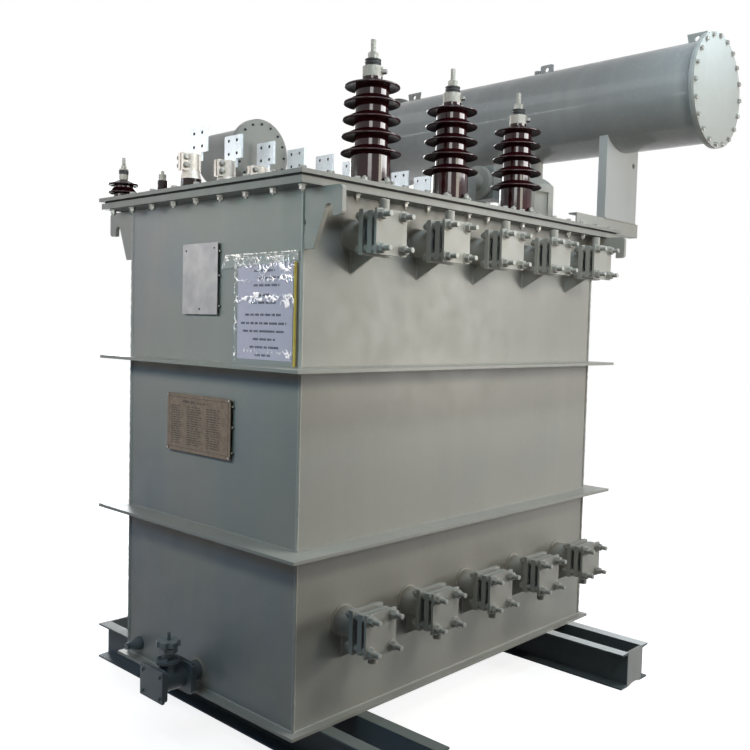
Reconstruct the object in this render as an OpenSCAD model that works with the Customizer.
// Rectifier transformer: a welded oil tank on two skids, with its bushings, radiator valves,
// conservator and drain valve. X runs along the tank, Y from its front to its back, Z up.

/* [Tank] */
// Length of the tank over its walls
tank_l = 1920; // [1700:10:2400]
// Width of the tank over its walls
tank_w = 1070; // [960:10:1400]
// Height of the tank walls
tank_h = 1890; // [1750:10:2300]
// Thickness of the wall plates
wall_t = 8; // [5:1:14]
// Thickness of the bottom plate
base_t = 12; // [8:1:20]
// How far the bottom plate stands out past the walls
base_lip = 34; // [10:1:60]

/* [Skids] */
// Height of a skid channel
skid_h = 160; // [100:5:200]
// Flange width of a skid channel, over the web
skid_flange = 56; // [40:1:80]
// Thickness of a skid channel's web
skid_web_t = 6; // [4:1:10]
// Mean thickness of a skid channel's flanges
skid_flange_t = 9; // [6:1:14]
// How much thicker a flange is at its root than at its toe
skid_taper = 4; // [0:0.5:6]
// Clear gap between the two channels of a skid
skid_gap = 130; // [80:1:200]
// Distance of a skid's middle from the end of the tank
skid_in = 220; // [180:5:400]
// Length that each skid runs out past the walls
skid_out = 430; // [200:10:460]
// Thickness of the plates that close the skid ends
skid_end_t = 10; // [6:1:16]
// Rise of the arch cut under a skid's end plate
skid_arch_h = 10; // [4:1:30]

/* [Stiffening bands] */
// How far the flat bars stand out from the walls
band_out = 95; // [50:1:130]
// Thickness of the flat bars
band_t = 12; // [8:1:20]
// Underside of the lower band above the tank floor
lower_band_z = 630; // [500:5:800]
// Underside of the upper band below the top of the walls
upper_band_drop = 623; // [500:1:720]

/* [Flange and cover] */
// How far the tank's bolting flange stands out past the walls
flange_out = 94; // [70:1:130]
// Thickness of the bolting flange
flange_t = 24; // [14:1:36]
// Thickness of the rubber gasket
gasket_t = 7; // [4:1:12]
// How far the gasket stays back from the flange's edge
gasket_inset = 10; // [2:1:20]
// Width of the gasket strip
gasket_w = 84; // [40:1:90]
// How far the cover plate stands out past the walls
cover_out = 102; // [80:1:140]
// Thickness of the cover plate
cover_t = 15; // [10:1:24]

/* [Lifting hooks] */
// Thickness of a hook plate
hook_t = 18; // [12:1:30]
// How far a hook reaches out from the wall
hook_out = 186; // [150:1:240]
// Height of a hook plate
hook_h = 205; // [170:1:280]
// Drop of the hook's nose from its top edge
hook_nose_h = 100; // [80:1:140]
// Drop of the notch's round end from the top edge
hook_notch_drop = 79; // [60:1:90]
// Distance of the notch from the wall
hook_notch_in = 104; // [70:1:110]
// Width of the notch
hook_notch_w = 38; // [30:1:60]
// Width of the plate where it ends on the wall
hook_foot = 52; // [30:1:80]
// Radius of the hook's outer corners
hook_corner_r = 16; // [6:1:20]
// Diameter of the hole that keeps the corner weld clear
hook_hole_d = 26; // [16:1:36]
// Drop of that hole from the top edge
hook_hole_drop = 115; // [90:1:150]

/* [Radiator valves] */
// Number of radiator connections along a side
stub_count = 5; // [3:1:5]
// Distance between neighbouring connections
stub_pitch = 363; // [300:1:400]
// Height of the lower connections above the tank floor
stub_low_z = 352; // [250:1:450]
// Drop of the upper connections below the top of the walls
stub_drop = 138; // [110:1:200]
// Outer diameter of a connecting pipe
stub_pipe_d = 108; // [80:1:130]
// Length of a connecting pipe
stub_pipe_l = 110; // [60:1:180]
// Side of the square flanges
stub_square = 156; // [140:1:180]
// Thickness of the pipe's flange
stub_flange_t = 18; // [10:1:26]
// Thickness of the blanking plate
blank_t = 10; // [6:1:20]
// Length of a valve between its flanges
valve_l = 56; // [44:1:90]
// Thickness of the valve's square body
valve_plate_t = 22; // [14:1:30]
// Diameter of the valve's sealing rings
valve_ring_d = 128; // [110:1:136]
// Diameter of the valve's corner bosses
valve_boss_d = 30; // [20:1:36]
// Distance of the bolt holes from the valve's middle
stub_bolt_half = 57; // [50:1:62]
// Diameter of the spindle's cap
spindle_cap_d = 35; // [24:1:44]
// Height of the spindle's cap
spindle_cap_h = 44; // [30:1:56]

/* [High-voltage bushings] */
// Number of high-voltage bushings
hv_count = 3; // [2:1:3]
// Distance between neighbouring high-voltage bushings
hv_pitch = 492; // [400:1:520]
// Distance of the bushings from the front wall
hv_in = 142; // [130:1:220]
// Diameter of the porcelain's barrel
hv_barrel_d = 155; // [140:1:180]
// Height of the barrel under the lowest shed
hv_barrel_h = 153; // [120:1:220]
// Diameter of the porcelain between the sheds
hv_core_d = 131; // [100:1:136]
// Diameter of the lowest shed
hv_shed_low_d = 237; // [200:1:260]
// Diameter of the highest shed
hv_shed_high_d = 216; // [190:1:240]
// Number of sheds
hv_shed_count = 5; // [3:1:7]
// Distance from shed to shed
hv_shed_pitch = 63.5; // [55:0.5:80]
// Thickness of a shed at its rim
hv_rim_t = 9; // [6:1:14]
// Height of a shed's sloping top
hv_slope_h = 22; // [20:1:44]
// Height of the neck over the highest shed
hv_neck_h = 10; // [4:1:20]
// Outer diameter of the clamp ring at the foot
hv_ring_d = 206; // [190:1:240]
// Height of the clamp ring at the foot
hv_ring_h = 26; // [16:1:40]
// Diameter of the light collar on the top
hv_collar_d = 79; // [60:1:90]
// Height of the light collar
hv_collar_h = 40; // [24:1:50]
// Diameter of the dark ribbed cap
hv_cap_d = 63; // [50:1:70]
// Height of the dark ribbed cap
hv_cap_h = 28; // [18:1:36]
// Width across the flats of the terminal nut
hv_nut_w = 36; // [30:1:46]
// Height of the terminal nut
hv_nut_h = 26; // [18:1:32]
// Diameter of the terminal stud
hv_stud_d = 20; // [12:1:26]
// Length of the stud over the nut
hv_stud_l = 50; // [30:1:80]

/* [Low-voltage terminals] */
// Number of low-voltage terminals
lv_count = 10; // [4:1:10]
// Distance between neighbouring terminals
lv_pitch = 178.5; // [170:0.5:195]
// How far the row stands left of the tank's middle
lv_shift = 38; // [0:1:60]
// Distance of the terminals from the back wall
lv_in = 240; // [200:1:320]
// Diameter of a terminal's porcelain
lv_porcelain_d = 86; // [70:1:100]
// Height of a terminal's porcelain
lv_porcelain_h = 78; // [60:1:140]
// Height of the metal cap on the porcelain
lv_cap_h = 32; // [16:1:36]
// Diameter of the clamp's hub
lv_hub_d = 66; // [56:1:90]
// Height of the clamp's hub
lv_hub_h = 70; // [60:1:110]
// Reach of the clamp's split ears from the axis
lv_ear_out = 50; // [46:1:66]
// Width of one split ear
lv_ear_t = 16; // [10:1:20]
// Width of the slit between the ears
lv_ear_slit = 6; // [3:1:10]
// Width of the flag's foot on the clamp
lv_foot_w = 46; // [36:1:64]
// Height of the flag's foot on the clamp
lv_foot_h = 22; // [16:1:70]
// Width of a flag plate
lv_flag_w = 115; // [90:1:130]
// Height of a flag plate
lv_flag_h = 100; // [90:1:140]
// Height of a flag's lower edge over its clamp
lv_flag_rise = 14; // [4:1:30]
// Thickness of a flag plate
lv_flag_t = 10; // [8:1:20]
// Diameter of a flag's bolt holes
lv_hole_d = 14; // [9:1:18]
// Distance between a flag's bolt holes
lv_hole_pitch = 56; // [40:1:60]

/* [Small bushings] */
// How far the corner insulator stands outside the left and back walls
insulator_out = 30; // [10:1:40]
// Diameter of the corner insulator's porcelain
insulator_d = 81; // [60:1:90]
// Diameter of the corner insulator's sheds
insulator_shed_d = 123; // [96:1:126]
// Height of the corner insulator's foot under its sheds
insulator_foot_h = 22; // [20:1:60]
// Distance between the corner insulator's sheds
insulator_shed_pitch = 34; // [28:1:50]
// Diameter of the metal collar on the corner insulator
insulator_collar_d = 36; // [28:1:46]
// Height of that collar
insulator_collar_h = 44; // [30:1:60]
// Diameter of the stud over it
insulator_stud_d = 14; // [10:1:18]
// Length of that stud
insulator_stud_l = 46; // [30:1:60]
// Distance of the core's earth terminal from the left wall
earth_x = 85; // [70:1:110]
// Distance of the core's earth terminal from the back wall
earth_in = 84; // [70:1:110]
// Diameter of the earth terminal's porcelain
earth_d = 42; // [30:1:50]
// Height of the earth terminal's porcelain
earth_h = 82; // [30:1:100]
// Diameter of the washers on the earth bushing
earth_washer_d = 30; // [20:1:38]
// Height of that stack of washers and nuts
earth_stack_h = 26; // [16:1:40]
// Diameter of the stud over it
earth_stud_d = 12; // [8:1:16]
// Length of that stud
earth_stud_l = 14; // [8:1:30]

/* [Conservator] */
// Distance of the conservator's axis past the right wall
cons_past = 280; // [260:1:320]
// Height of the conservator's axis above the cover
cons_rise = 661; // [600:1:720]
// Outer diameter of the conservator's shell
cons_d = 480; // [420:1:520]
// Thickness of the conservator's shell
cons_wall_t = 5; // [3:1:10]
// Length of the conservator's shell
cons_l = 1980; // [1800:10:2200]
// Diameter of the bolted ends
cons_ring_d = 540; // [530:1:580]
// Thickness of the welded end rings
cons_ring_t = 14; // [8:1:20]
// Thickness of the bolted end covers
cons_end_t = 12; // [8:1:20]
// Width of a lifting lug at its foot
cons_lug_w = 78; // [60:1:100]
// Height of a lifting lug
cons_lug_h = 52; // [44:1:80]
// Thickness of a lifting lug
cons_lug_t = 10; // [6:1:16]
// Diameter of a lifting lug's eye
cons_lug_eye_d = 26; // [16:1:28]
// Distance of a lug's middle from the end of the shell
cons_lug_in = 85; // [60:1:200]
// Diameter of the filler plug on the conservator
filler_d = 40; // [30:1:60]
// Height of that plug over the shell
filler_h = 26; // [16:1:40]

/* [Conservator supports] */
// Height of a support beam
beam_h = 70; // [50:1:90]
// Flange width of a support beam
beam_flange = 46; // [36:1:60]
// Thickness of a support beam's plate
beam_t = 7; // [4:1:10]
// How far a beam reaches in over the cover from the right wall
beam_in = 152; // [120:1:200]
// How far a beam reaches out past the conservator's axis
beam_past = 192; // [180:1:210]
// Width of a saddle post
post_w = 328; // [280:1:360]
// Depth of a saddle post's flanges
post_flange = 46; // [36:1:60]
// Thickness of a saddle post's plate
post_t = 8; // [5:1:12]
// Diameter of the hole in a saddle post
post_hole_d = 26; // [14:1:40]
// Distance of the saddle post's hole from the post's middle
post_hole_x = 118; // [60:1:120]
// Height of the saddle post's hole above its foot
post_hole_z = 300; // [200:1:320]

/* [Relief valve] */
// Distance of the relief valve from the right wall
relief_in = 160; // [150:1:220]
// Distance of the relief valve from the front wall
relief_y = 270; // [255:1:320]
// Diameter of the relief valve's flange
relief_flange_d = 276; // [250:1:290]
// Thickness of the relief valve's flange
relief_flange_t = 20; // [12:1:30]
// Diameter of the relief valve's body
relief_d = 236; // [200:1:244]
// Height of the relief valve's body
relief_h = 190; // [140:1:220]
// Height of the relief valve's sloping cap
relief_cap_h = 55; // [30:1:80]
// Number of windows round the relief valve
relief_windows = 4; // [3:1:6]
// Width of a window
relief_window_w = 76; // [40:1:90]
// Height of a window
relief_window_h = 120; // [60:1:130]
// Depth of a window
relief_window_depth = 16; // [6:1:30]
// Turn of the first window from +X
relief_window_turn = 66; // [0:1:90]

/* [Gas relay] */
// Height of the relay pipe's axis above the cover
relay_rise = 250; // [200:1:300]
// Outer diameter of the relay pipe
relay_pipe_d = 89; // [70:1:100]
// Distance of the riser from the right wall
riser_in = 330; // [310:1:360]
// Length of the relay between its flanges
relay_l = 185; // [160:1:200]
// Diameter of the relay pipe's flanges
relay_flange_d = 165; // [150:1:180]
// Thickness of the relay pipe's flanges
relay_flange_t = 16; // [10:1:22]
// Width of the relay's housing
relay_w = 150; // [120:1:170]
// Height of the relay's housing
relay_h = 170; // [140:1:190]

/* [Inspection drum] */
// Distance of the drum from the left wall
drum_x = 552; // [480:1:620]
// Distance of the drum's bolted face from the back wall
drum_in = 145; // [140:1:180]
// Diameter of the drum's body
drum_d = 252; // [240:1:300]
// Length of the drum's body
drum_l = 300; // [180:1:320]
// Diameter of the drum's bolted cover
drum_cover_d = 310; // [280:1:400]
// Thickness of the drum's rim and of its cover
drum_plate_t = 14; // [8:1:18]
// Gap between the bolted cover and the deck
drum_clear = 103; // [2:1:140]
// Width of the neck under the drum
drum_neck_w = 150; // [110:1:180]

/* [Drain valve] */
// Distance of the drain valve from the front wall
drain_y = 565; // [450:1:650]
// Height of the drain valve above the tank floor
drain_z = 66; // [64:1:120]
// Outer diameter of the drain pipe
drain_pipe_d = 76; // [50:1:90]
// Length of the drain pipe
drain_pipe_l = 60; // [30:1:80]
// Width of the drain valve's flanges
drain_flange_w = 150; // [120:1:160]
// Height of the drain valve's flanges
drain_flange_h = 118; // [110:1:122]
// Thickness of the drain valve's flanges
drain_flange_t = 12; // [8:1:16]
// Radius of the corners of the drain valve's flanges
drain_corner_r = 16; // [6:1:24]
// Length of the drain valve between its flanges
drain_body_l = 128; // [120:1:140]
// Diameter of the drain valve's body
drain_body_d = 92; // [80:1:100]
// Diameter of the bonnet's plate
bonnet_d = 94; // [84:1:100]
// Thickness of the bonnet's plate
bonnet_t = 12; // [8:1:16]
// Height of the bonnet's gland under the wheel
gland_h = 50; // [20:1:60]
// Diameter of the valve's stem
stem_d = 14; // [10:1:18]
// Diameter of the handwheel
wheel_d = 92; // [80:1:120]
// Thickness of the handwheel
wheel_t = 22; // [14:1:26]
// Number of finger hollows round the handwheel
wheel_lobes = 6; // [5:1:8]
// Distance of the sampling plug from the back wall
plug_in = 90; // [70:1:140]
// Height of the sampling plug above the tank floor
plug_z = 60; // [50:1:90]
// Diameter of the sampling plug's foot
plug_d = 56; // [40:1:64]
// Reach of the sampling plug from the wall
plug_out = 70; // [50:1:90]

/* [Plates and pouch] */
// Width of the rating plate
rating_w = 412; // [300:1:450]
// Height of the rating plate
rating_h = 228; // [180:1:260]
// Middle of the rating plate from the front wall
rating_y = 570; // [520:1:620]
// Width of the upper plate
upper_plate_w = 224; // [180:1:260]
// Height of the upper plate
upper_plate_h = 270; // [220:1:300]
// Middle of the upper plate from the front wall
upper_plate_y = 570; // [540:1:620]
// Middle of the upper plate below the top of the walls
upper_plate_drop = 296; // [260:1:330]
// Thickness of both plates
plate_t = 3; // [2:1:6]
// Gap that the plates' brackets hold to the wall
plate_gap = 12; // [6:1:20]
// Width of the document pouch
pouch_w = 333; // [240:1:380]
// Height of the document pouch
pouch_h = 378; // [300:1:400]
// Middle of the document pouch from the front wall
pouch_y = 197; // [190:1:210]
// Middle of the document pouch below the top of the walls
pouch_drop = 411; // [350:1:420]
// Thickness of the filled document pouch
pouch_t = 4; // [2:1:10]

/* [Hidden] */
// Sides of a hexagon nut
hex_sides = 6;
// Longest side-cut of any hole or slot past the plate it cuts
overrun = 5;
// Gap left between a curved seat and what rests in it
seat_gap = 0.2;
// Running gap round the stem of the drain valve
stem_gap = 0.06;
// Gap under the handwheel's hub
hub_gap = 0.3;
// Width of the bonnet's neck as a share of the valve's body
bonnet_neck_share = 0.8;
// Width of a lug's top as a share of its foot
lug_top_share = 1.28;
// Middle of the rating plate between the two bands, as a share of the way up
rating_place_share = 0.624;
// Middle of a groove as a share of its own width
groove_mid_share = 0.5;
// Segments of round shapes
$fn = 64;

// Levels above the tank floor, and the ground below it
ground = skid_h + base_t;
gasket_z = tank_h + flange_t;
cover_z = gasket_z + gasket_t;
deck_z = cover_z + cover_t;

// Places along the walls
skid_spacing = tank_l - skid_in * 2;
upper_band_z = tank_h - upper_band_drop;
lower_band_top = lower_band_z + band_t;
rating_z = lower_band_top + (upper_band_z - lower_band_top) * rating_place_share;
upper_plate_z = tank_h - upper_plate_drop;
pouch_z = tank_h - pouch_drop;

// Radiator connections
stub_high_z = tank_h - stub_drop;
stub_first_x = tank_l / 2 - (stub_count - 1) / 2 * stub_pitch;
valve_y = stub_pipe_l + stub_flange_t;
blank_y = valve_y + valve_l;

// High-voltage bushings
hv_first_x = tank_l / 2 - (hv_count - 1) / 2 * hv_pitch;
hv_top_z = hv_barrel_h + (hv_shed_count - 1) * hv_shed_pitch + hv_rim_t + hv_slope_h + hv_neck_h;
hv_cap_z = hv_top_z + hv_collar_h;

// Small bushings
insulator_rim_share = 0.9;
insulator_slope_share = 0.5;
nut_w_share = 1.8;
nut_h_share = 0.9;
insulator_rim_t = hv_rim_t * insulator_rim_share;
insulator_slope_h = insulator_shed_pitch * insulator_slope_share;
insulator_top_z = insulator_foot_h + insulator_shed_pitch + insulator_rim_t + insulator_slope_h;

// Low-voltage terminals
lv_first_x = tank_l / 2 - lv_shift - (lv_count - 1) / 2 * lv_pitch;
lv_hub_z = lv_porcelain_h + lv_cap_h;
lv_flag_z = lv_hub_z + lv_hub_h;
lv_cap_d = lv_porcelain_d - lv_cap_h / 2;

// Conservator
cons_x = tank_l + cons_past;
cons_z = deck_z + cons_rise;
cons_reach = cons_l / 2 + cons_ring_t + cons_end_t;
beam_x = tank_l - beam_in;
beam_l = cons_x + beam_past - beam_x;
post_z = deck_z + beam_h;

// Gas relay and its pipes
riser_x = tank_l - riser_in;
relay_z = deck_z + relay_rise;
relay_x = riser_x + relay_pipe_d;

// Drain valve, measured outwards from the left wall
drain_body_x = drain_pipe_l + drain_flange_t;
drain_stem_x = drain_body_x + drain_flange_t + (drain_body_l - drain_flange_t * 2) / 2;
drain_blank_x = drain_body_x + drain_body_l;
drain_reach = drain_blank_x + drain_flange_t;
bonnet_z = drain_z + drain_flange_h / 2 + bonnet_t / 2;
gland_z = bonnet_z + bonnet_t;
wheel_z = gland_z + gland_h + hub_gap;

// Middle of the whole machine along X
mid_x = (cons_x + cons_ring_d / 2 - drain_reach) / 2;

paint = "#a3a29b";
dark_paint = "#6d7478";
porcelain = "#3d1c18";
silver = "#c9ccce";
rubber = "#1d1f20";
bronze = "#6f5b45";

// Brings the tank's own corner to the machine's middle, with the skids on the ground
module placed() { translate([-mid_x, -tank_w / 2, ground]) children(); }

// Repeats a piece of the front on the back
module on_back() { translate([0, tank_w, 0]) mirror([0, 1, 0]) children(); }
module both_sides() { children(); on_back() children(); }

// Repeats a piece of the left end on the right end
module both_ends() { children(); translate([tank_l, 0, 0]) mirror([1, 0, 0]) children(); }

// Turns a profile drawn in X and Z so that it runs along +Y
module along_y(length) { translate([0, length, 0]) rotate([90, 0, 0]) linear_extrude(length) children(); }

// A plate whose middle is on the axis that points out of the left wall
module left_plate(x, w, h, t) { translate([-x - t, -w / 2, -h / 2]) cube([t, w, h]); }

// A round bar on the axis that points out of the front wall
module front_bar(y, d, l) { translate([0, -y, 0]) rotate([90, 0, 0]) cylinder(d = d, h = l); }

// A square plate whose middle is on the axis that points out of the front wall
module front_plate(y, side, t) { translate([-side / 2, -y - t, -side / 2]) cube([side, t, side]); }

// Skids

module channel_profile() {
    toe_t = skid_flange_t - skid_taper / 2;
    root_t = skid_flange_t + skid_taper / 2;
    polygon([
        [0, 0], [skid_flange, 0], [skid_flange, toe_t], [skid_web_t, root_t],
        [skid_web_t, skid_h - root_t], [skid_flange, skid_h - toe_t], [skid_flange, skid_h], [0, skid_h]
    ]);
}

module skid_channel() { along_y(tank_w + skid_out * 2) channel_profile(); }

// Two channels back to back, with their flanges outwards
module skid_pair() {
    translate([skid_gap / 2, -skid_out, -ground]) skid_channel();
    translate([-skid_gap / 2, -skid_out, -ground]) mirror([1, 0, 0]) skid_channel();
}

module left_skid_channels() {
    color(dark_paint) placed() translate([tank_l / 2 - skid_spacing / 2, 0, 0]) skid_pair();
}

module right_skid_channels() {
    color(dark_paint) placed() translate([tank_l / 2 + skid_spacing / 2, 0, 0]) skid_pair();
}

module skid_end_plates() {
    half = skid_gap / 2 - skid_end_t;
    arch_r = (half * half + skid_arch_h * skid_arch_h) / (2 * skid_arch_h);
    color(dark_paint) placed() both_sides() for (side = [-1, 1])
        translate([tank_l / 2 + side * skid_spacing / 2, -skid_out, -ground]) difference() {
            translate([-skid_gap / 2, 0, 0]) cube([skid_gap, skid_end_t, skid_h]);
            translate([0, skid_end_t + overrun, skid_arch_h - arch_r]) rotate([90, 0, 0])
                cylinder(r = arch_r, h = skid_end_t + overrun * 2);
        }
}

// Tank

module base_plate() {
    color(paint) placed() translate([-base_lip, -base_lip, -base_t])
        cube([tank_l + base_lip * 2, tank_w + base_lip * 2, base_t]);
}

module long_wall() { cube([tank_l, wall_t, tank_h]); }
module end_wall() { translate([0, wall_t, 0]) cube([wall_t, tank_w - wall_t * 2, tank_h]); }

module front_wall() { color(paint) placed() long_wall(); }
module back_wall() { color(paint) placed() on_back() long_wall(); }
module left_wall() { color(paint) placed() end_wall(); }
module right_wall() { color(paint) placed() translate([tank_l - wall_t, 0, 0]) end_wall(); }

// Bars between the corners on the long sides
module long_bands() {
    color(paint) placed() both_sides() for (z = [lower_band_z, upper_band_z])
        translate([0, -band_out, z]) cube([tank_l, band_out, band_t]);
}

// Bars that run through the corners on the ends
module end_bands() {
    color(paint) placed() both_ends() for (z = [lower_band_z, upper_band_z])
        translate([-band_out, -band_out, z]) cube([band_out, tank_w + band_out * 2, band_t]);
}

module long_flange_bars() {
    color(paint) placed() both_sides() translate([-flange_out, -flange_out, tank_h])
        cube([tank_l + flange_out * 2, flange_out + wall_t, flange_t]);
}

module end_flange_bars() {
    color(paint) placed() both_ends() translate([-flange_out, wall_t, tank_h])
        cube([flange_out + wall_t, tank_w - wall_t * 2, flange_t]);
}

module cover_gasket() {
    edge = flange_out - gasket_inset;
    color(rubber) placed() translate([-edge, -edge, gasket_z]) difference() {
        cube([tank_l + edge * 2, tank_w + edge * 2, gasket_t]);
        translate([gasket_w, gasket_w, -overrun])
            cube([
                tank_l + edge * 2 - gasket_w * 2, tank_w + edge * 2 - gasket_w * 2,
                gasket_t + overrun * 2
            ]);
    }
}

module cover_plate() {
    color(paint) placed() translate([-cover_out, -cover_out, cover_z])
        cube([tank_l + cover_out * 2, tank_w + cover_out * 2, cover_t]);
}

// Lifting hooks

// What is cut off to round a convex corner that points up and to the right
module corner_cut(r) {
    translate([-r, -r]) difference() {
        square(r + overrun);
        circle(r);
    }
}

// Side view of a hook: X out from the wall, Y up from its top edge
module hook_outline() {
    notch_mid = hook_notch_in + hook_notch_w / 2;
    difference() {
        polygon([
            [0, 0], [hook_out, 0], [hook_out, -hook_nose_h],
            [hook_notch_in + hook_notch_w, -hook_nose_h],
            [hook_notch_in + hook_notch_w, -hook_notch_drop], [hook_notch_in, -hook_notch_drop],
            [hook_foot, -hook_h], [0, -hook_h]
        ]);
        translate([notch_mid, -hook_notch_drop]) circle(d = hook_notch_w);
        translate([0, -hook_hole_drop]) circle(d = hook_hole_d);
        translate([hook_out, 0]) corner_cut(hook_corner_r);
        translate([hook_out, -hook_nose_h]) mirror([0, 1]) corner_cut(hook_corner_r);
    }
}

module hook_pair() {
    both_ends() translate([hook_t, 0, tank_h]) rotate([90, 0, -90]) linear_extrude(hook_t) hook_outline();
}

module front_lifting_hooks() { color(paint) placed() hook_pair(); }
module back_lifting_hooks() { color(paint) placed() on_back() hook_pair(); }

// Radiator connections

// Places a piece, drawn with its spindle upwards, on every connection of the front
module at_stubs() {
    for (i = [0 : stub_count - 1]) {
        x = stub_first_x + i * stub_pitch;
        translate([x, 0, stub_high_z]) children();
        translate([x, 0, stub_low_z]) mirror([0, 0, 1]) children();
    }
}

module pipe_stub() {
    front_bar(0, stub_pipe_d, stub_pipe_l + stub_flange_t / 2);
    front_plate(stub_pipe_l, stub_square, stub_flange_t);
}

module butterfly_valve() {
    side = stub_bolt_half * 2 + valve_boss_d;
    waist_y = valve_y + valve_l / 2 - valve_plate_t / 2;
    front_plate(waist_y, side, valve_plate_t);
    front_bar(valve_y, valve_ring_d, valve_l);
    for (sx = [-1, 1], sz = [-1, 1])
        translate([sx * stub_bolt_half, 0, sz * stub_bolt_half]) front_bar(valve_y, valve_boss_d, valve_l);
    translate([0, -valve_y - valve_l / 2, side / 2]) cylinder(d = spindle_cap_d, h = spindle_cap_h);
}

module front_pipe_stubs() { color(paint) placed() at_stubs() pipe_stub(); }
module front_butterfly_valves() { color(paint) placed() at_stubs() butterfly_valve(); }
module front_blanking_plates() {
    color(paint) placed() at_stubs() front_plate(blank_y, stub_square, blank_t);
}
module back_pipe_stubs() { color(paint) placed() on_back() at_stubs() pipe_stub(); }
module back_butterfly_valves() { color(paint) placed() on_back() at_stubs() butterfly_valve(); }
module back_blanking_plates() {
    color(paint) placed() on_back() at_stubs() front_plate(blank_y, stub_square, blank_t);
}

// High-voltage bushings

module at_hv() {
    for (i = [0 : hv_count - 1]) translate([hv_first_x + i * hv_pitch, hv_in, deck_z]) children();
}

// Half outline of one umbrella shed round a core, from its rim up to the core
module shed(rim_d, core_d, rim_t, slope_h) {
    polygon([
        [0, rim_t], [core_d / 2, rim_t], [rim_d / 2 - rim_t / 2, 0], [rim_d / 2 - rim_t / 2, rim_t],
        [core_d / 2, rim_t + slope_h], [0, rim_t + slope_h]
    ]);
    translate([rim_d / 2 - rim_t / 2, rim_t / 2]) circle(d = rim_t);
}

module hv_porcelain() {
    core_top = hv_top_z - hv_neck_h - hv_slope_h;
    rotate_extrude() {
        translate([0, hv_ring_h]) square([hv_barrel_d / 2, hv_barrel_h - hv_ring_h + hv_rim_t]);
        translate([0, hv_barrel_h]) square([hv_core_d / 2, core_top - hv_barrel_h]);
        translate([0, hv_barrel_h]) square([hv_collar_d / 2, hv_top_z - hv_barrel_h]);
        for (i = [0 : hv_shed_count - 1]) {
            share = i / (hv_shed_count - 1);
            rim_d = hv_shed_low_d + (hv_shed_high_d - hv_shed_low_d) * share;
            core_d = i < hv_shed_count - 1 ? hv_core_d : hv_collar_d;
            translate([0, hv_barrel_h + i * hv_shed_pitch]) shed(rim_d, core_d, hv_rim_t, hv_slope_h);
        }
    }
}

// Ribbed ring round the stud
module hv_cap() {
    groove = hv_cap_h / 5;
    bore_r = hv_stud_d / 2 + stem_gap;
    translate([0, 0, hv_cap_z]) rotate_extrude() difference() {
        translate([bore_r, 0]) square([hv_cap_d / 2 - bore_r, hv_cap_h]);
        for (i = [1, 3]) translate([hv_cap_d / 2, groove * (i + groove_mid_share)]) circle(d = groove);
    }
}

// Cast collar with the stud that stands in it, and the nut over the ribbed ring
module hv_terminal() {
    nut_z = hv_cap_z + hv_cap_h;
    translate([0, 0, hv_top_z]) cylinder(d = hv_collar_d, h = hv_collar_h);
    translate([0, 0, nut_z]) cylinder(d = hv_nut_w / cos(180 / hex_sides), h = hv_nut_h, $fn = hex_sides);
    translate([0, 0, hv_top_z]) cylinder(d = hv_stud_d, h = hv_collar_h + hv_cap_h + hv_nut_h + hv_stud_l);
}

module hv_porcelains() { color(porcelain) placed() at_hv() hv_porcelain(); }
module hv_clamp_rings() { color(silver) placed() at_hv() cylinder(d = hv_ring_d, h = hv_ring_h); }
module hv_caps() { color(rubber) placed() at_hv() hv_cap(); }
module hv_terminals() { color(silver) placed() at_hv() hv_terminal(); }

// Low-voltage terminals

module at_lv() {
    for (i = [0 : lv_count - 1])
        translate([lv_first_x + i * lv_pitch, tank_w - lv_in, deck_z]) children();
}

module lv_clamp() {
    ear_span = lv_ear_slit + lv_ear_t * 2;
    translate([0, 0, lv_porcelain_h]) cylinder(d1 = lv_porcelain_d, d2 = lv_cap_d, h = lv_cap_h);
    translate([0, 0, lv_hub_z]) difference() {
        union() {
            cylinder(d = lv_hub_d, h = lv_hub_h);
            translate([0, -lv_foot_w / 2, 0]) cube([lv_hub_d / 2, lv_foot_w, lv_hub_h]);
            translate([-lv_ear_out, -ear_span / 2, 0]) cube([lv_ear_out, ear_span, lv_hub_h]);
        }
        translate([-lv_ear_out - overrun, -lv_ear_slit / 2, -overrun])
            cube([lv_ear_out + overrun - lv_hub_d / 4, lv_ear_slit, lv_hub_h + overrun * 2]);
    }
}

// Flag plate seen along X: Y across, Z up from the clamp's top, with its foot below
module flag_outline() {
    translate([-lv_foot_w / 2, -lv_foot_h]) square([lv_foot_w, lv_foot_h + lv_flag_rise]);
    translate([0, lv_flag_rise]) difference() {
        translate([-lv_flag_w / 2, 0]) square([lv_flag_w, lv_flag_h]);
        for (sy = [-1, 1], sz = [-1, 1])
            translate([sy * lv_hole_pitch / 2, lv_flag_h / 2 + sz * lv_hole_pitch / 2])
                circle(d = lv_hole_d);
    }
}

module lv_flag() {
    translate([lv_hub_d / 2, 0, lv_flag_z]) rotate([90, 0, 90]) linear_extrude(lv_flag_t) flag_outline();
}

module lv_porcelains() { color(porcelain) placed() at_lv() cylinder(d = lv_porcelain_d, h = lv_porcelain_h); }
module lv_clamps() { color(silver) placed() at_lv() lv_clamp(); }
module lv_flags() { color(silver) placed() at_lv() lv_flag(); }

// Small bushings at the back left corner

// Places a shape on the back left corner of the cover
module at_corner() { translate([-insulator_out, tank_w + insulator_out, deck_z]) children(); }

// Post insulator with two sheds, on the corner of the cover
module corner_insulator() {
    color(porcelain) placed() at_corner() rotate_extrude() {
        square([insulator_d / 2, insulator_top_z - insulator_slope_h]);
        for (i = [0, 1]) translate([0, insulator_foot_h + i * insulator_shed_pitch])
            shed(insulator_shed_d, i == 0 ? insulator_d : insulator_collar_d,
                insulator_rim_t, insulator_slope_h);
    }
}

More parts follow.
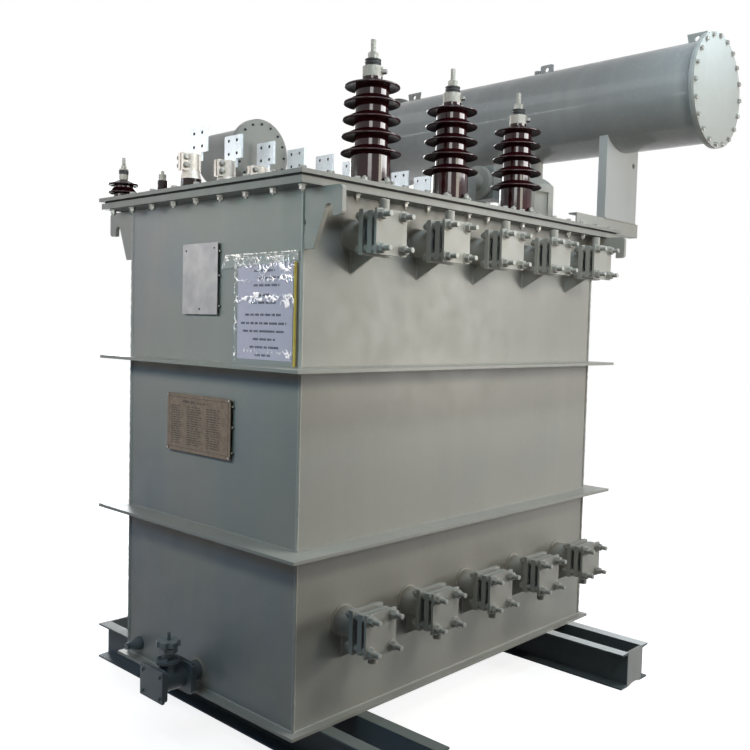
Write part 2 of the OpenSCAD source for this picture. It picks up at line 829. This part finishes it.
// Collar, nut and stud on the corner insulator
module corner_terminal() {
    nut_z = insulator_top_z + insulator_collar_h;
    color(silver) placed() at_corner() {
        translate([0, 0, insulator_top_z]) cylinder(d = insulator_collar_d, h = insulator_collar_h);
        translate([0, 0, nut_z])
            cylinder(d = insulator_stud_d * nut_w_share, h = insulator_stud_d * nut_h_share, $fn = hex_sides);
        translate([0, 0, nut_z]) cylinder(d = insulator_stud_d, h = insulator_stud_l);
    }
}

module core_earth_bushing() {
    color(porcelain) placed() translate([earth_x, tank_w - earth_in, deck_z])
        cylinder(d = earth_d, h = earth_h);
}

// Washers, nuts and stud on the core's earth bushing
module earth_terminal() {
    color(silver) placed() translate([earth_x, tank_w - earth_in, deck_z + earth_h]) {
        cylinder(d = earth_washer_d, h = earth_stack_h);
        cylinder(d = earth_stud_d, h = earth_stack_h + earth_stud_l);
    }
}

// Conservator

// Places a shape drawn about Z on the conservator's axis, along Y from its middle
module on_cons_axis() { translate([cons_x, tank_w / 2, cons_z]) rotate([90, 0, 0]) children(); }

module conservator_shell() {
    half = cons_l / 2;
    color(paint) placed() on_cons_axis() rotate_extrude() {
        translate([cons_d / 2 - cons_wall_t, -half]) square([cons_wall_t, cons_l]);
        for (y = [-half - cons_ring_t, half]) translate([cons_d / 2 - cons_wall_t, y])
            square([(cons_ring_d - cons_d) / 2 + cons_wall_t, cons_ring_t]);
    }
}

module conservator_ends() {
    color(paint) placed() on_cons_axis() for (side = [-1, 1])
        translate([0, 0, side * (cons_reach - cons_end_t / 2) - cons_end_t / 2])
            cylinder(d = cons_ring_d, h = cons_end_t);
}

// Lug seen along X: Y along the shell, Z up from the shell's axis
module lug_outline() {
    foot = cons_lug_w / 2;
    top = foot * lug_top_share;
    foot_z = cons_d / 2 - cons_lug_t / 2;
    top_z = cons_d / 2 + cons_lug_h;
    difference() {
        polygon([[-foot, foot_z], [foot, foot_z], [top, top_z], [-top, top_z]]);
        translate([0, top_z - cons_lug_eye_d]) circle(d = cons_lug_eye_d);
    }
}

// Plates along the top of the shell, with their feet cut to its round
module conservator_lugs() {
    color(paint) placed() for (i = [-1, 1])
        translate([cons_x, tank_w / 2 + i * (cons_l / 2 - cons_lug_in), cons_z]) difference() {
            translate([-cons_lug_t / 2, 0, 0]) rotate([90, 0, 90]) linear_extrude(cons_lug_t) lug_outline();
            translate([0, cons_lug_w, 0]) rotate([90, 0, 0])
                cylinder(d = cons_d + seat_gap * 2, h = cons_lug_w * 2);
        }
}

// Plug on the crest of the shell, with its foot cut to the round
module conservator_filler() {
    color(paint) placed() translate([cons_x, tank_w / 2, cons_z]) difference() {
        cylinder(d = filler_d, h = cons_d / 2 + filler_h);
        translate([0, filler_d, 0]) rotate([90, 0, 0]) cylinder(d = cons_d + seat_gap * 2, h = filler_d * 2);
    }
}

// Channel of the support beam seen along X: Y from its front face, Z up
module support_beam() {
    difference() {
        cube([beam_l, beam_flange, beam_h]);
        translate([-overrun, beam_t, beam_t])
            cube([beam_l + overrun * 2, beam_flange, beam_h - beam_t * 2]);
    }
}

module support_beams() { color(paint) placed() both_sides() translate([beam_x, 0, deck_z]) support_beam(); }

// Folded plate that carries the conservator in a round saddle
module saddle_post() {
    post_h = cons_z - post_z;
    difference() {
        translate([cons_x - post_w / 2, 0, post_z]) difference() {
            cube([post_w, post_flange, post_h]);
            translate([post_t, post_t, -overrun])
                cube([post_w - post_t * 2, post_flange, post_h + overrun * 2]);
        }
        translate([cons_x, -overrun, cons_z]) rotate([-90, 0, 0])
            cylinder(d = cons_d + seat_gap * 2, h = post_flange + overrun * 2);
        translate([cons_x + post_hole_x, -overrun, post_z + post_hole_z]) rotate([-90, 0, 0])
            cylinder(d = post_hole_d, h = post_t + overrun * 2);
    }
}

module saddle_posts() { color(paint) placed() both_sides() saddle_post(); }

// Relief valve

module relief_valve() {
    body_r = relief_d / 2;
    dome_r = (body_r * body_r + relief_cap_h * relief_cap_h) / (2 * relief_cap_h);
    color(paint) placed() translate([tank_l - relief_in, relief_y, deck_z]) {
        cylinder(d = relief_flange_d, h = relief_flange_t);
        translate([0, 0, relief_flange_t]) difference() {
            cylinder(d = relief_d, h = relief_h);
            for (i = [0 : relief_windows - 1]) rotate([0, 0, relief_window_turn + i * 360 / relief_windows])
                translate([
                    body_r - relief_window_depth, -relief_window_w / 2, (relief_h - relief_window_h) / 2
                ]) cube([relief_d, relief_window_w, relief_window_h]);
        }
        translate([0, 0, relief_flange_t + relief_h]) rotate_extrude() intersection() {
            translate([0, relief_cap_h - dome_r]) circle(r = dome_r);
            square([relief_d, relief_cap_h]);
        }
    }
}

// Gas relay and its pipes

module along_x(d, l) { rotate([0, 90, 0]) cylinder(d = d, h = l); }

module gas_relay() {
    color(dark_paint) placed() translate([relay_x, tank_w / 2, relay_z]) {
        along_x(relay_flange_d, relay_flange_t);
        along_x(relay_pipe_d, relay_l);
        translate([relay_l - relay_flange_t, 0, 0]) along_x(relay_flange_d, relay_flange_t);
        translate([relay_flange_t * 2, -relay_w / 2, -relay_h / 2])
            cube([relay_l - relay_flange_t * 4, relay_w, relay_h]);
    }
}

// Riser from the cover to the relay, and the bend from the relay up into the conservator
module relay_pipes() {
    far_x = relay_x + relay_l;
    color(paint) placed() translate([0, tank_w / 2, 0]) {
        translate([riser_x, 0, deck_z]) cylinder(d = relay_pipe_d, h = relay_rise + relay_pipe_d / 2);
        translate([riser_x, 0, relay_z]) along_x(relay_pipe_d, relay_x - riser_x);
        translate([relay_x - relay_flange_t, 0, relay_z]) along_x(relay_flange_d, relay_flange_t);
        translate([far_x, 0, relay_z]) along_x(relay_flange_d, relay_flange_t);
        translate([far_x, 0, relay_z]) along_x(relay_pipe_d, cons_x - far_x);
        difference() {
            translate([cons_x, 0, relay_z - relay_pipe_d / 2])
                cylinder(d = relay_pipe_d, h = cons_z - relay_z);
            translate([cons_x, -relay_pipe_d, cons_z]) rotate([-90, 0, 0])
                cylinder(d = cons_d + seat_gap * 2, h = relay_pipe_d * 2);
        }
    }
}

// Inspection drum

// Places a shape drawn about Z on the drum's axis, running back from its bolted face
module on_drum_axis() {
    translate([drum_x, tank_w - drum_in, deck_z + drum_clear + drum_cover_d / 2])
        rotate([-90, 0, 0]) children();
}

module inspection_drum() {
    color(paint) placed() {
        on_drum_axis() {
            cylinder(d = drum_cover_d, h = drum_plate_t);
            cylinder(d = drum_d, h = drum_l);
        }
        translate([drum_x - drum_neck_w / 2, tank_w - drum_in + drum_plate_t, deck_z])
            cube([drum_neck_w, drum_neck_w, drum_clear + drum_cover_d / 2]);
    }
}

module drum_cover() {
    color(paint) placed() on_drum_axis() translate([0, 0, -drum_plate_t])
        cylinder(d = drum_cover_d, h = drum_plate_t);
}

// Drain valve and sampling plug

module at_drain() { translate([0, drain_y, drain_z]) children(); }

// A round bar on the axis that points out of the left wall
module left_bar(x, d, l) { translate([-x, 0, 0]) rotate([0, -90, 0]) cylinder(d = d, h = l); }

// Flange with rounded corners across the drain's axis
module drain_plate(x) {
    w = drain_flange_w / 2;
    h = drain_flange_h / 2;
    translate([-x, 0, 0]) rotate([90, 0, -90]) linear_extrude(drain_flange_t) difference() {
        square([w * 2, h * 2], center = true);
        for (sy = [0, 1], sz = [0, 1]) mirror([sy, 0]) mirror([0, sz])
            translate([w, h]) corner_cut(drain_corner_r);
    }
}

module drain_pipe() {
    color(paint) placed() at_drain() {
        left_bar(0, drain_pipe_d, drain_pipe_l + drain_flange_t / 2);
        drain_plate(drain_pipe_l);
    }
}

module drain_valve_body() {
    color(paint) placed() {
        at_drain() {
            drain_plate(drain_body_x);
            left_bar(drain_body_x, drain_body_d, drain_body_l);
            drain_plate(drain_blank_x - drain_flange_t);
        }
        translate([-drain_stem_x, drain_y, 0]) {
            translate([0, 0, drain_z]) cylinder(d = drain_body_d * bonnet_neck_share, h = bonnet_z - drain_z);
            translate([0, 0, bonnet_z]) cylinder(d = bonnet_d, h = bonnet_t);
            translate([0, 0, gland_z]) cylinder(d = stem_d * 2, h = gland_h);
            translate([0, 0, gland_z]) cylinder(d = stem_d, h = gland_h + hub_gap + wheel_t + stem_d * 2);
        }
    }
}

module drain_blank() {
    color(paint) placed() at_drain()
        left_plate(drain_blank_x, drain_flange_w, drain_flange_h, drain_flange_t);
}

module drain_handwheel() {
    hollow_d = wheel_d / 4;
    turn = 360 / wheel_lobes;
    color(dark_paint) placed() translate([-drain_stem_x, drain_y, wheel_z]) linear_extrude(wheel_t)
        difference() {
            circle(d = wheel_d);
            circle(d = stem_d + stem_gap * 2);
            for (i = [0 : wheel_lobes - 1]) rotate(i * turn) translate([wheel_d / 2, 0]) circle(d = hollow_d);
        }
}

module sampling_plug() {
    color(paint) placed() translate([0, tank_w - plug_in, plug_z]) {
        left_bar(0, plug_d, plug_out / 4);
        translate([-plug_out / 4, 0, 0]) rotate([0, -90, 0])
            cylinder(d1 = plug_d, d2 = plug_d / 2, h = plug_out / 2);
        left_bar(plug_out * 3 / 4, plug_d / 2, plug_out / 4);
    }
}

// Plates and pouch on the left wall

// A plate held off the left wall by two bracket strips along its sides
module held_plate(y, z, w, h) {
    translate([0, y, z]) {
        left_plate(plate_gap, w, h, plate_t);
        for (side = [-1, 1]) translate([0, side * w / 3, 0]) left_plate(0, plate_gap * 2, h / 2, plate_gap);
    }
}

module upper_plate() {
    color(silver) placed() held_plate(upper_plate_y, upper_plate_z, upper_plate_w, upper_plate_h);
}
module rating_plate() { color(bronze) placed() held_plate(rating_y, rating_z, rating_w, rating_h); }
module document_pouch() {
    color("white") placed() translate([0, pouch_y, pouch_z]) left_plate(0, pouch_w, pouch_h, pouch_t);
}

left_skid_channels();
right_skid_channels();
skid_end_plates();
base_plate();
front_wall();
back_wall();
left_wall();
right_wall();
long_bands();
end_bands();
long_flange_bars();
end_flange_bars();
cover_gasket();
cover_plate();
front_lifting_hooks();
back_lifting_hooks();
front_pipe_stubs();
front_butterfly_valves();
front_blanking_plates();
back_pipe_stubs();
back_butterfly_valves();
back_blanking_plates();
hv_porcelains();
hv_clamp_rings();
hv_caps();
hv_terminals();
lv_porcelains();
lv_clamps();
lv_flags();
corner_insulator();
corner_terminal();
core_earth_bushing();
earth_terminal();
conservator_shell();
conservator_ends();
conservator_lugs();
conservator_filler();
support_beams();
saddle_posts();
relief_valve();
gas_relay();
relay_pipes();
inspection_drum();
drum_cover();
drain_pipe();
drain_valve_body();
drain_blank();
drain_handwheel();
sampling_plug();
upper_plate();
rating_plate();
document_pouch();
